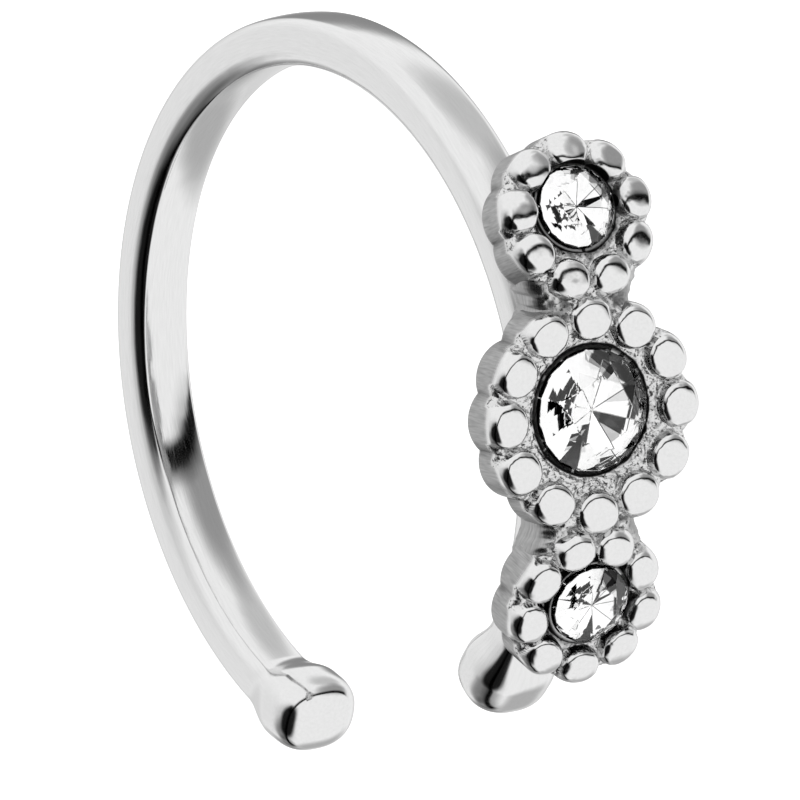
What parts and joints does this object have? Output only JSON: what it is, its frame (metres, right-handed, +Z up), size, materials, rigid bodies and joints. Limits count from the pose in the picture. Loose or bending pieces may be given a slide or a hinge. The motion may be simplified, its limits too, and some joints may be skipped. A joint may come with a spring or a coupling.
{
  "type": "ear cuff",
  "caption": "Silver-coloured ear cuff: an open hoop of flat wire with knobbed ends, its front set with a row of beaded flowers holding clear round crystals.",
  "frame": {"origin": "on the table, under the middle of the cuff's box, as it lies on its side", "axes": "+Z up, roughly along the hoop's axis and a little off it; +X towards the flowers, which face out along it; the opening faces -Y"},
  "size_m": [0.0124, 0.0112, 0.0036],
  "materials": {
    "polished_metal": "polished white metal, with brushed flower sides, grainy cast recesses and darkened seats",
    "crystal": "clear faceted crystal with a silvered back"
  },
  "bodies": {
    "root": {"hoop_with_setting": "polished_metal", "crystal_top": "crystal", "crystal_middle": "crystal", "crystal_bottom": "crystal"}
  },
  "joints": []
}
